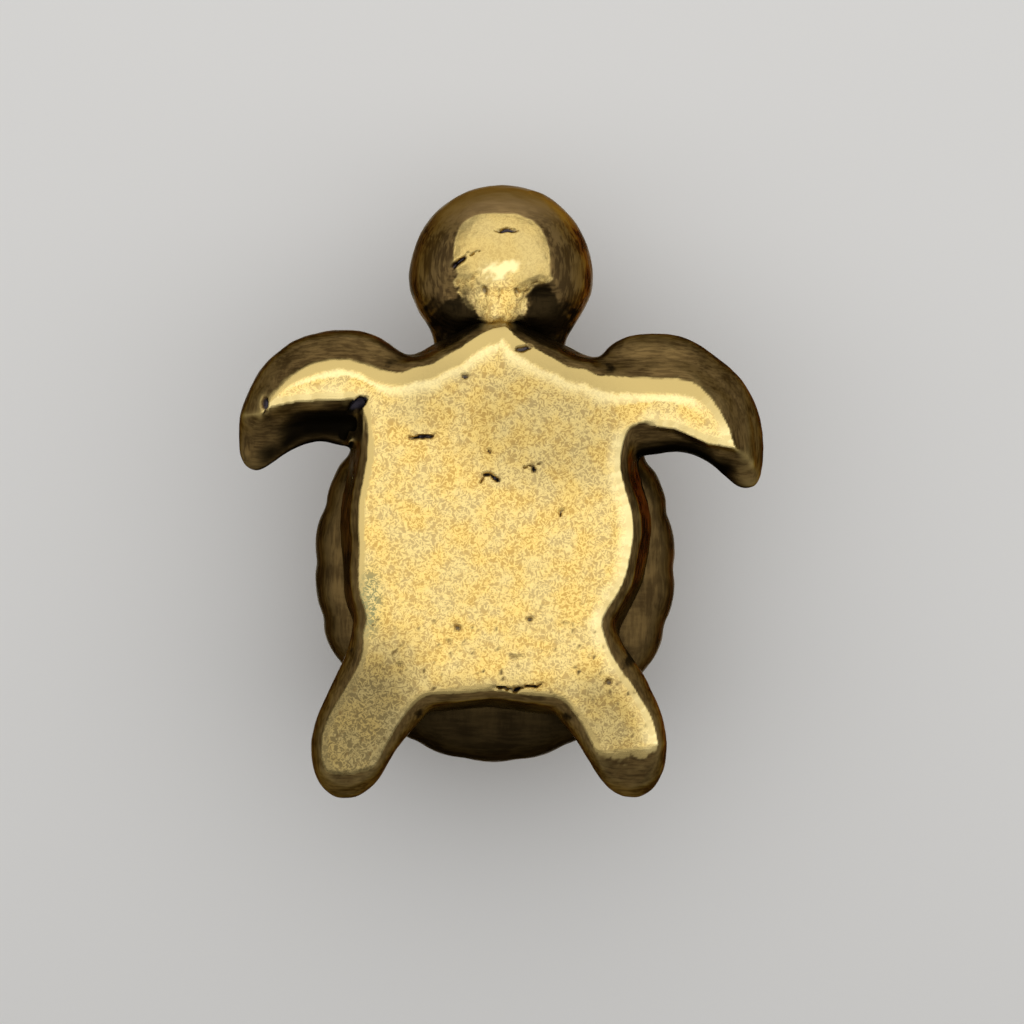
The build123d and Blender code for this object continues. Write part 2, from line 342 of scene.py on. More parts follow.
def weigh(piece, name, weights):
    """Paint a vertex group with these weights."""
    group = piece.vertex_groups.new(name=name)
    levels = np.rint(np.clip(weights, 0, 1) * WEIGHT_STEPS).astype(int)
    for level in np.unique(levels[levels > 0]):
        group.add(np.flatnonzero(levels == level).tolist(), float(level / WEIGHT_STEPS), "REPLACE")
    return name


def smooth(piece, name, weights, rounds):
    """Smooth a piece where it is weighed."""
    work(piece, "SMOOTH", factor=0.5, iterations=rounds, vertex_group=weigh(piece, name, weights))


def shift(piece, name, weights, length, way="NORMAL"):
    """Move a piece where it is weighed, along an axis or its normals, by a length in bench millimetres."""
    group = weigh(piece, name, weights)
    work(piece, "DISPLACE", direction=way, strength=length, mid_level=0.0, vertex_group=group)


def mark(piece, name, values):
    """Keep one value per vertex for the materials."""
    layer = piece.data.attributes.new(name, "FLOAT", "POINT")
    layer.data.foreach_set("value", np.clip(values, -1, 1).astype(np.float32))


def clouds(name, size, depth):
    """Soft noise that a displacement reads, with its feature size in bench millimetres."""
    texture = bpy.data.textures.new(name, "CLOUDS")
    texture.noise_scale = size
    texture.noise_depth = depth
    return texture


def sink(piece, texture, depth, group):
    """Press a noise into the piece, never outwards."""
    work(
        piece,
        "DISPLACE",
        texture=texture,
        texture_coords="LOCAL",
        strength=depth * MM,
        mid_level=1.0,
        vertex_group=group,
    )


def wander(spots, pitch):
    """Value that wanders smoothly between about -1 and 1 in plan, with a pitch in bench millimetres."""
    x, y = spots[:, :2].T * math.tau / pitch
    first, second = np.sin(x + 1.7 * np.sin(0.6 * y + 1)), np.sin(0.9 * y + 1.3 * np.sin(0.7 * x + 2))
    return (first + second + np.sin(0.8 * (x + y) + np.sin(0.5 * x - y) + 3)) / 3


def flaw_depths(spots, flaws):
    """How deep each spot lies in a flaw; small flaws have ragged edges."""
    depths = np.zeros(len(spots))
    for x, y, half_length, half_width, turn, share in flaws:
        along_x, along_y = math.cos(math.radians(turn)), math.sin(math.radians(turn))
        dx, dy = spots[:, 0] - x, spots[:, 1] - y
        along = dx * along_x + dy * along_y
        rough = 0.18 * min(1, 0.12 / half_width)
        across = dy * along_x - dx * along_y + 0.16 * rough * np.sin(9 * along + 5 * x)
        ragged = 1 + rough * np.sin(13 * along + 7 * y) * np.cos(11 * across + 3 * x)
        reach = np.hypot(along / half_length, across / half_width) * ragged
        depths = np.maximum(depths, share * ease(1.35, 0.45, reach))
    return depths


def relief(mesh, rounds=14):
    """How far each vertex stands out of its smoothed surroundings, in bench millimetres."""
    spots, normals = read(mesh), read(mesh, "normal")
    ends = np.empty(len(mesh.edges) * 2, np.int32)
    mesh.edges.foreach_get("vertices", ends)
    first, second = ends.reshape(-1, 2).T
    count = np.bincount(first, minlength=len(spots)) + np.bincount(second, minlength=len(spots))
    even = spots.copy()
    for _ in range(rounds):
        for axis in range(3):
            total = np.bincount(first, even[second, axis], len(spots))
            total += np.bincount(second, even[first, axis], len(spots))
            even[:, axis] = total / np.maximum(count, 1)
    return ((spots - even) * normals).sum(1)


def solid_tree():
    """Search tree of all CAD nodes on the bench."""
    corners, faces = [], []
    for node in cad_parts.values():
        start = len(corners)
        corners += [vertex.co * MM for vertex in node.data.vertices]
        faces += [[start + index for index in face.vertices] for face in node.data.polygons]
    return BVHTree.FromPolygons(corners, faces)


SOLIDS = solid_tree()


def recess_rays(count):
    """Even spread of directions over the half sphere about +Z."""
    rays = []
    for index in range(count):
        height = math.sqrt((index + 0.5) / count)
        turn = index * math.pi * (3 - math.sqrt(5))
        flat = math.sqrt(1 - height * height)
        rays.append(Vector((flat * math.cos(turn), flat * math.sin(turn), height)))
    return rays


def recesses(piece):
    """How much of the open room each vertex is shut off from by the solids round it."""
    sizes = settings()[0]
    reach = sizes.recess_reach * MM
    rays = recess_rays(sizes.ray_count)
    spots = read(piece.data)
    stride = max(1, len(spots) // RECESS_SPOTS)
    tree = KDTree(len(spots[::stride]))
    shut = []
    for index, spot in enumerate(spots[::stride]):
        place, normal, _, _ = SOLIDS.find_nearest(spot)
        turn = normal.to_track_quat("Z", "Y")
        start = place + normal * RECESS_START
        total = 0.0
        for ray in rays:
            length = SOLIDS.ray_cast(start, turn @ ray, reach)[3]
            if length is not None:
                total += 1 - length / reach
        shut.append(total / len(rays))
        tree.insert(spot, index)
    tree.balance()
    values = np.empty(len(spots))
    for index, spot in enumerate(spots):
        near = tree.find_n(spot, RECESS_NEIGHBOURS)
        shares = [1 / (length + 0.05) for _, _, length in near]
        values[index] = sum(shut[found[1]] * share for found, share in zip(near, shares)) / sum(shares)
    return values


def seam_plane(node):
    """Place and direction, on the bench, of the upright face where a CAD node was cut off."""
    areas, places = {}, {}
    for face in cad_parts[node].data.polygons:
        if abs(face.normal.z) < 0.01:
            key = tuple(round(value, 2) for value in face.normal)
            areas[key] = areas.get(key, 0) + face.area
            places[key] = (face.center * MM, face.normal.copy())
    return places[max(areas, key=areas.get)]


def part_off(piece, node, keep_outer):
    """Cut a piece at a node's seam and keep the limb's side or the body's side, closed by a flat face."""
    place, normal = seam_plane(node)
    pick(piece)
    bpy.ops.object.mode_set(mode="EDIT")
    bpy.ops.mesh.select_all(action="SELECT")
    bpy.ops.mesh.bisect(
        plane_co=place, plane_no=normal, use_fill=True, clear_outer=keep_outer, clear_inner=not keep_outer
    )
    bpy.ops.object.mode_set(mode="OBJECT")


def duplicate(piece, name):
    """Copy of a bench piece with its own mesh."""
    pick(piece)
    bpy.ops.object.duplicate()
    copy = bpy.context.view_layer.objects.active
    copy.name = name
    return copy


def hand_over(piece, node, material):
    """Bring a bench piece to metres, and let it stand for its CAD node."""
    piece.name = f"{node}_brass"
    piece.data.name = piece.name
    piece.vertex_groups.clear()
    piece.scale = (1 / MM,) * 3
    pick(piece)
    bpy.ops.object.transform_apply(location=False, rotation=False, scale=True)
    bpy.ops.object.shade_smooth_by_angle(angle=math.radians(60))
    piece.data.materials.clear()
    piece.data.materials.append(material)
    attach(piece, "root")
    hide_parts(node)


def place_node(tree, kind, sockets=None, **values):
    """Add a shader node, set its values and fill or join its sockets."""
    node = tree.nodes.new(kind)
    for key, value in values.items():
        setattr(node, key, value)
    for socket, value in (sockets or {}).items():
        if isinstance(value, bpy.types.NodeSocket):
            tree.links.new(value, node.inputs[socket])
        else:
            node.inputs[socket].default_value = value
    return node


def calc(tree, operation, first, second=0.0):
    """Output of a maths node kept between 0 and 1."""
    sockets = {0: first, 1: second}
    return place_node(tree, "ShaderNodeMath", sockets, operation=operation, use_clamp=True).outputs[0]


def step(tree, value, low, high):
    """Output of a smooth step from low to high."""
    sockets = {"Value": value, "From Min": low, "From Max": high}
    return place_node(tree, "ShaderNodeMapRange", sockets, interpolation_type="SMOOTHSTEP").outputs["Result"]


def tint(tree, share, under, over):
    """Output of a colour mix."""
    mix = place_node(tree, "ShaderNodeMix", {0: share, 6: under, 7: over}, data_type="RGBA")
    return mix.outputs[2]


def rgba(colour):
    """Colour with full opacity."""
    return (*colour, 1.0)


def new_group(name, inputs, outputs):
    """Shader group with named sockets; gives the tree, its input node and its output node."""
    tree = bpy.data.node_groups.new(name, "ShaderNodeTree")
    for way, sockets in (("INPUT", inputs), ("OUTPUT", outputs)):
        for socket, kind in sockets:
            tree.interface.new_socket(socket, in_out=way, socket_type=f"NodeSocket{kind}")
    return tree, tree.nodes.new("NodeGroupInput"), tree.nodes.new("NodeGroupOutput")


def grain_group():
    """Worm-like flecks of ground brass, and their height."""
    inputs = (("Position", "Vector"), ("Scale", "Float"))
    tree, given, out = new_group("ground_grain", inputs, (("Fleck", "Float"), ("Height", "Float")))
    sockets = {"Vector": given.outputs["Position"], "Scale": given.outputs["Scale"]}
    sockets |= {"Detail": 2.0, "Roughness": 0.55, "Distortion": 0.9}
    worms = place_node(tree, "ShaderNodeTexNoise", sockets).outputs["Fac"]
    ridge = calc(tree, "PINGPONG", worms, 0.5)
    tree.links.new(step(tree, ridge, 0.38, 0.492), out.inputs["Fleck"])
    tree.links.new(ridge, out.inputs["Height"])
    return tree


def streak_group():
    """Fine drawn lines that run round the piece: across its ends and along its sides."""
    inputs = (("Position", "Vector"), ("Scale", "Float"), ("Side", "Float"))
    tree, given, out = new_group("file_streaks", inputs, (("Streak", "Float"),))
    ways = []
    for stretch in ((0.15, 1.0, 1.0), (1.0, 0.15, 1.0)):
        sockets = {0: given.outputs["Position"], 1: stretch}
        drawn = place_node(tree, "ShaderNodeVectorMath", sockets, operation="MULTIPLY").outputs[0]
        sockets = {"Vector": drawn, "Scale": given.outputs["Scale"]}
        sockets |= {"Detail": 3.0, "Roughness": 0.55, "Distortion": 0.3}
        ways.append(place_node(tree, "ShaderNodeTexNoise", sockets).outputs["Fac"])
    lines = tint(tree, given.outputs["Side"], *ways)
    tree.links.new(step(tree, lines, 0.39, 0.62), out.inputs["Streak"])
    return tree


def patina_group():
    """Brown and olive patina, worn on crowns, black in recesses and creases: dark patina there, and painted
    occlusion shade.
    """
    inputs = (
        ("Streak", "Float"),
        ("Tone_and_sheen", "Float"),
        ("Cavity", "Float"),
        ("Relief", "Float"),
        ("Brown", "Color"),
        ("Olive", "Color"),
        ("Dull", "Color"),
        ("Worn", "Color"),
        ("Recess", "Color"),
    )
    tree, given, out = new_group("old_patina", inputs, (("Color", "Color"), ("Darkening", "Float")))
    skin_colour = tint(tree, given.outputs["Streak"], given.outputs["Brown"], given.outputs["Olive"])
    skin_colour = tint(tree, given.outputs["Tone_and_sheen"], skin_colour, given.outputs["Dull"])
    crown = calc(tree, "MULTIPLY", step(tree, given.outputs["Relief"], 0.005, 0.08), 0.6)
    worn = tint(tree, crown, skin_colour, given.outputs["Worn"])
    crease = step(tree, given.outputs["Relief"], -0.015, -0.09)
    # Painted occlusion shade with dark patina: the recess measure darkens hollows, creases and spots under
    # the shell and limbs
    shut = step(tree, given.outputs["Cavity"], 0.18, 0.62)
    darkening = calc(tree, "ADD", shut, calc(tree, "MULTIPLY", crease, 0.5))
    tree.links.new(tint(tree, darkening, worn, given.outputs["Recess"]), out.inputs["Color"])
    tree.links.new(darkening, out.inputs["Darkening"])
    return tree


def brass(name, streak_scale, contrast):
    """Old brass: patina on the sides, grainy or polished metal where it was rubbed, painted highlights, and
    dark flaws whose floors are painted shade.
    """
    colours = settings()[1]
    material = bpy.data.materials.new(name)
    material.use_nodes = True
    tree = material.node_tree
    shader = tree.nodes["Principled BSDF"]
    where = place_node(tree, "ShaderNodeTexCoord").outputs["Object"]
    bench = place_node(tree, "ShaderNodeVectorMath", {0: where, "Scale": MM}, operation="SCALE").outputs[0]
    held = {}
    for key in ("rubbed", "grainy", "shine", "dull", "scuff", "flaw", "tone_and_sheen", "side", "cavity", "relief"):
        held[key] = place_node(tree, "ShaderNodeAttribute", attribute_name=key).outputs["Fac"]

    grain = place_node(tree, "ShaderNodeGroup", node_tree=bpy.data.node_groups["ground_grain"])
    tree.links.new(bench, grain.inputs["Position"])
    grain.inputs["Scale"].default_value = GRAIN_SCALE
    streaks = place_node(tree, "ShaderNodeGroup", node_tree=bpy.data.node_groups["file_streaks"])
    tree.links.new(bench, streaks.inputs["Position"])
    tree.links.new(held["side"], streaks.inputs["Side"])
    streaks.inputs["Scale"].default_value = streak_scale
    patina = place_node(tree, "ShaderNodeGroup", node_tree=bpy.data.node_groups["old_patina"])
    sockets = {"Vector": bench, "Scale": 0.7, "Detail": 3.0}
    blot = place_node(tree, "ShaderNodeTexNoise", sockets).outputs["Fac"]
    blot = step(tree, blot, 0.35, 0.65)
    lines = tint(tree, 0.5, streaks.outputs["Streak"], blot)
    lines = step(tree, lines, 0.5 - 0.5 / contrast, 0.5 + 0.5 / contrast)
    tree.links.new(lines, patina.inputs["Streak"])
    for socket in ("Tone_and_sheen", "Cavity", "Relief"):
        tree.links.new(held[socket.lower()], patina.inputs[socket])
    shades = {"Brown": "brown", "Olive": "olive", "Dull": "tone_and_sheen", "Worn": "polished", "Recess": "recess"}
    for socket, colour in shades.items():
        patina.inputs[socket].default_value = rgba(getattr(colours, colour))

    fleck = grain.outputs["Fleck"]
    between = tint(tree, blot, rgba(colours.warm), rgba(colours.grey))
    ground = tint(tree, fleck, between, tint(tree, blot, rgba(colours.sunny), rgba(colours.pale)))
    metal = tint(tree, held["grainy"], rgba(colours.polished), ground)
    # Painted highlight: a bright gleam laid on rolled edges, rims and the head's rubbed patch
    metal = tint(tree, held["shine"], metal, rgba(colours.painted_gleam))
    # Dull areas: tarnished brass, and painted darker reflection on the belly; flecks are spared a little
    spared = calc(tree, "MULTIPLY", calc(tree, "MULTIPLY", fleck, held["dull"]), 0.22)
    dulled = calc(tree, "SUBTRACT", held["dull"], spared)
    metal = tint(tree, dulled, metal, rgba(colours.dull_grey))
    scuffed = calc(tree, "MULTIPLY", held["scuff"], step(tree, fleck, 1.4, -0.2))
    metal = tint(tree, scuffed, metal, rgba(colours.verdigris))
    coat = tint(tree, held["rubbed"], patina.outputs["Color"], metal)
    # Painted shade: the flaws' floors are painted dark blue-grey
    coat = tint(tree, step(tree, held["flaw"], 0.18, 0.75), coat, rgba(colours.flaw_shade))
    tree.links.new(coat, shader.inputs["Base Color"])
    shader.inputs["Metallic"].default_value = 1.0
    shader.inputs["Specular Tint"].default_value = GLANCE_TINT

    sockets = {"Value": held["rubbed"], "To Min": PATINA_ROUGHNESS, "To Max": RUBBED_ROUGHNESS}
    rough = place_node(tree, "ShaderNodeMapRange", sockets).outputs["Result"]
    for mask, more in ((held["grainy"], GRAIN_ROUGHNESS), (patina.outputs["Darkening"], DARKENING_ROUGHNESS)):
        sockets = {0: mask, 1: more, 2: rough}
        rough = place_node(tree, "ShaderNodeMath", sockets, operation="MULTIPLY_ADD").outputs[0]
    tree.links.new(rough, shader.inputs["Roughness"])

    rise = calc(tree, "MULTIPLY", grain.outputs["Height"], held["grainy"])
    height = calc(tree, "ADD", rise, calc(tree, "MULTIPLY", streaks.outputs["Streak"], 0.1))
    bump = place_node(tree, "ShaderNodeBump", {"Height": height, "Strength": 0.6, "Distance": BUMP_HEIGHT})
    tree.links.new(bump.outputs["Normal"], shader.inputs["Normal"])
    return material


def make_groups():
    """The shader groups that the brass finishes share, made once."""
    if "ground_grain" not in bpy.data.node_groups:
        grain_group()
        streak_group()
        patina_group()


def ground_masks(spots, normals):
    """Where the underside was ground flat, and where its grain shows."""
    x, y, z = spots.T
    down = 0.07 * ease(-4.0, -5.5, x) * ease(-3.0, -4.0, y) - normals[:, 2]
    uneven = 0.008 * wander(spots, 1.1) + 0.006 * wander(spots, 0.4)
    ground = ease(0.90, 0.935, down + uneven) * ease(0.32, 0.24, z + 4 * uneven)
    grainy = ground * ease(0.975, 0.995, down)
    return ground, grainy


def keep_marks(piece, painted_shade_and_grime=0.0, rubbed=0.0, carving=1.0, **marks):
    """Keep what the finish reads from a piece; painted shade and grime hide rubbed metal, carving strengthens
    the relief.
    """
    none = np.zeros(len(piece.data.vertices))
    mark(piece, "rubbed", rubbed * np.clip(1 - 1.7 * painted_shade_and_grime, 0, 1) + none)
    # Painted occlusion shade: ray casts measure how shut off each spot is, which darkens it together with its
    # dark patina
    shut = np.minimum(recesses(piece) * (0.4 + 0.6 * carving), 0.5)
    mark(piece, "cavity", np.maximum(shut, painted_shade_and_grime))
    mark(piece, "relief", relief(piece.data) * carving)
    turned = np.abs(read(piece.data, "normal"))
    mark(piece, "side", ease(-0.4, 0.4, turned[:, 0] - turned[:, 1]))
    for key in ("grainy", "shine", "dull", "scuff", "flaw", "tone_and_sheen"):
        mark(piece, key, none + marks.get(key, 0.0))


class TURTLE_OT_underbody(bpy.types.Operator):
    """Belly plate and limbs, shaped as one casting and parted at the limbs' seams"""

    bl_idname = "turtle.underbody"
    bl_label = "Belly and limbs"

    def execute(self, context):
        make_groups()
        body = bench_copy("underbody", "plastron", *LIMBS)
        skin(body, settings()[0].belly_step, 14)
        self.shape_outline(body)
        rough = self.lift_rough_ends(body)
        self.roll_left_flipper(body)
        rim = self.roll_front_edges(body)
        self.press_and_mark(body, rough, *rim)
        pieces = {"plastron": body}
        for node in LIMBS:
            pieces[node] = duplicate(body, node)
        for node in LIMBS:
            part_off(pieces[node], node, True)
            part_off(body, node, False)
        finish = brass("belly_brass", 8.0, 0.6)
        for node, piece in pieces.items():
            hand_over(piece, node, finish)
        return {"FINISHED"}

    @staticmethod
    def shape_outline(body):
        """Let the limbs flow into the plate, and push the outline uneven."""
        x, y, _ = read(body.data).T
        flow = np.zeros(len(x))
        for flow_x, flow_y, reach in LIMB_FLOWS:
            flow = np.maximum(flow, ease(reach, reach * 0.4, np.hypot(x - flow_x, y - flow_y)))
        smooth(body, "flow", flow, 60)
        for number, (push_x, push_y, reach, way, length) in enumerate(PUSHES):
            x, y, z = read(body.data).T
            near = ease(reach, 0, np.hypot(x - push_x, y - push_y)) * ease(4.5, 1.5, z)
            shift(body, f"push_{number}", near, length, way)

    @staticmethod
    def lift_rough_ends(body):
        """Lift what the grinding missed and round the right flipper's tip; gives how rough each spot is."""
        x, y, z = read(body.data).T
        behind = y - np.interp(x, *zip(*FACET_END))
        rough = np.clip(behind / 0.95, 0, 1) * ease(-6.15, -6.6, x) * ease(2.8, 0.2, z)
        rough *= ease(0.4, -0.4, y - np.interp(x, (-7.8, -6.8), (0.8, -2.4)))
        for tip_x, tip_y in TIP_LIFTS:
            behind = np.clip((y - tip_y + 0.12 * (x - tip_x)) / 2.6, 0, 1)
            lifted = behind**1.3 * ease(3.2, 2.8, np.abs(x - tip_x)) * ease(2.6, 0.2, z)
            rough = np.maximum(rough, lifted)
        shift(body, "rough", rough, settings()[0].lift * MM, "Z")
        smooth(body, "rough_edge", rough * 3, 25)
        x, y, _ = read(body.data).T
        tip = ease(-9.4, -10.6, x) * ease(-3.2, -2.2, y) * ease(3.0, 2.0, y)
        smooth(body, "tip", tip, 90)
        return rough

    @staticmethod
    def roll_left_flipper(body):
        """Fill the left flipper's facet to its rear line, and roll the flipper up before and beyond it."""
        x, y, z = read(body.data).T
        slides = (-0.4, 0.0, 0.4)
        behind, line, ahead = (np.interp(x + slide, *zip(*FACET_FRONT)) for slide in slides)
        before = ((behind + line + ahead) / 3 - y) / np.hypot(1, (ahead - behind) / 0.8)
        past = y - np.interp(x, *zip(*FACET_REAR))
        facet = ease(0.1, -0.1, past) * ease(0.1, -0.1, before) * ease(6.6, 7.4, x)
        shift(body, "facet", facet * z * ease(1.4, 1.0, z), -1.0, "Z")
        before = np.maximum(before, past * ease(9.8, 10.6, x))
        before = np.clip(before, 0, 1) * ease(4.2, 5.4, x) * ease(2.8, 0.4, z)
        shift(body, "rolled_up", before, settings()[0].flipper_rise * MM, "Z")
        smooth(body, "roll_edge", before * 4, 20)

    @staticmethod
    def roll_front_edges(body):
        """Roll up the front edges; gives each spot's way to the rim, the roll's width and the rim's side."""
        sizes = settings()[0]
        spots, normals = read(body.data), read(body.data, "normal")
        rim = np.flatnonzero((-normals[:, 2] < 0.88) & (spots[:, 2] < 0.8))
        tree = KDTree(len(rim))
        for index in rim:
            tree.insert(spots[index], index)
        tree.balance()
        apart, nearest = np.full(len(spots), 9.0), np.zeros(len(spots), int)
        for index in np.flatnonzero(spots[:, 2] < 1.5):
            _, nearest[index], apart[index] = tree.find(spots[index])
        way, place = normals[nearest], spots[nearest]
        front = ease(0.15, 0.6, -way[:, 1]) * ease(-1.2, -2.4, place[:, 1])
        turned = (ease(0.3, 0.7, way[:, 0]) - ease(0.3, 0.7, -way[:, 0])) * (1 - front)
        rear = 0.45 * ease(0.1, 0.9, way[:, 1]) * ease(-1.0, -1.8, place[:, 1])
        width = sizes.roll_width * MM * (0.45 + 0.55 * front)
        rolled = np.clip(1 - apart / width, 0, 1) * (width / (sizes.roll_width * MM))
        shift(body, "roll", rolled * ease(1.5, 0.4, spots[:, 2]), sizes.roll_rise * MM, "Z")
        return apart, width, np.maximum(turned, rear)

    @staticmethod
    def press_and_mark(body, rough, apart, width, turned):
        """Press in waves, grain and flaws, and mark what is ground, what gets a painted highlight, what is
        dull, partly as a painted darker reflection, what is scuffed, and what gets painted shade.
        """
        sizes = settings()[0]
        spots, normals = read(body.data), read(body.data, "normal")
        x, y, z = spots.T
        ground, grainy = ground_masks(spots, normals)
        ragged = 1 + ease(2.0, 8.0, y)
        uneven = (0.06 * wander(spots, 0.9) + 0.04 * wander(spots, 0.35)) * ragged
        ground *= ease(0.17, 0.08, rough + uneven)
        grainy *= ground * ease(0.12, 0.0, np.clip(1 - apart / width, 0, 1))
        sink(body, clouds("cast_waves", 1.7, 2), sizes.wave_depth, weigh(body, "waves", 1 - 0.65 * ground))
        sink(body, clouds("belly_grain", 0.26, 1), sizes.grain_depth, weigh(body, "grain", grainy))
        low = ease(1.2, 0.6, z) * ease(0.1, 0.5, -normals[:, 2])
        depths = flaw_depths(spots, BELLY_FLAWS) * low
        deepest = max(flaw[-1] for flaw in BELLY_FLAWS)
        shift(body, "flaws", depths / deepest, -sizes.flaw_depth * MM * deepest)

        wide = ease(0.4, 0.8, width / (sizes.roll_width * MM))
        # Painted highlight: a bright line just inside the rolled edges
        inside = ease(width + 0.75, width + 0.1, apart) * ease(width - 0.1, width + 0.1, apart) * wide
        # Painted shade: darkens the fore flippers' rear-facing flanks, which face away from the light, and
        # the lifted rough ends
        shaded_side = ease(0.2, 0.9, normals[:, 1]) * ease(4.4, 5.4, np.abs(x)) * ease(3.0, 1.5, y)
        shaded_side = np.maximum(shaded_side, ease(0.35, 1.0, rough) * ease(2.0, 0.5, y))
        shaded_side *= ease(0.25, 0.8, z) * ease(4.6, 2.4, z)
        shaded_side *= ease(-1.6, 1.4, (9.7 - np.abs(x)) * 1.3 + y + 3.0 + 0.6 * wander(spots, 1.6))
        # Painted highlights on the plate's rims facing +X and on the feet's rims facing -X
        side_edge = turned * ease(0.95, 0.5, apart)
        foot_edge = -turned * ease(0.5, 0.25, apart) * ease(7.8, 9.0, y)
        # A duller rim along the plate's side facing -X
        dim_edge = -turned * ease(0.75, 0.4, apart) * ease(-1.0, 1.5, y) * ease(8.0, 6.5, y)
        throat = ease(1.0, 0.5, np.abs(x + 0.1)) * ease(-7.2, -7.6, y) * ease(1.4, 0.8, z)
        bruise = ease(1.1, 0.3, np.hypot((x + 5.6) / 0.75, (y - 5.2) / 2.1))
        dull_edge = np.maximum(0.4 * dim_edge, 0.5 * throat)
        lifted_edge = ease(0.0, 0.06, rough) * ease(0.3, 0.2, rough) * (2 - ragged)
        keep_marks(
            body,
            painted_shade_and_grime=0.62 * shaded_side,
            rubbed=np.maximum(ground, 0.8 * throat),
            grainy=grainy,
            shine=np.maximum(np.maximum(0.75 * inside, side_edge), 0.8 * foot_edge),
            dull=np.maximum(flaw_depths(spots, BELLY_DULL_AREAS), dull_edge),
            scuff=np.maximum(bruise, lifted_edge),
            flaw=depths,
        )


class TURTLE_OT_shell(bpy.types.Operator):
    """Domed shell with soft scutes and a notched margin"""

    bl_idname = "turtle.shell"
    bl_label = "Shell"

    def execute(self, context):
        sizes = settings()[0]
        make_groups()
        shell = bench_copy("shell", "carapace")
        skin(shell, sizes.shell_step, 10)
        margin = ease(5.6, 4.6, read(shell.data)[:, 2])
        smooth(shell, "margin", margin, 220)
        rear = margin * ease(7.0, 9.5, read(shell.data)[:, 1])
        smooth(shell, "rear", rear, 350)
        everywhere = weigh(shell, "waves", np.ones(len(margin)))
        sink(shell, clouds("shell_waves", 2.2, 2), sizes.wave_depth, everywhere)
        _, y, z = read(shell.data).T
        # Painted shade: darkens the shell's low margin, and the rear lobe most
        painted_shade_and_grime = (0.34 + 0.16 * ease(9.0, 10.5, y)) * ease(4.6, 3.6, z)
        keep_marks(shell, painted_shade_and_grime=painted_shade_and_grime, carving=ease(3.6, 5.0, z))
        hand_over(shell, "carapace", brass("shell_brass", 6.0, 0.55))
        return {"FINISHED"}


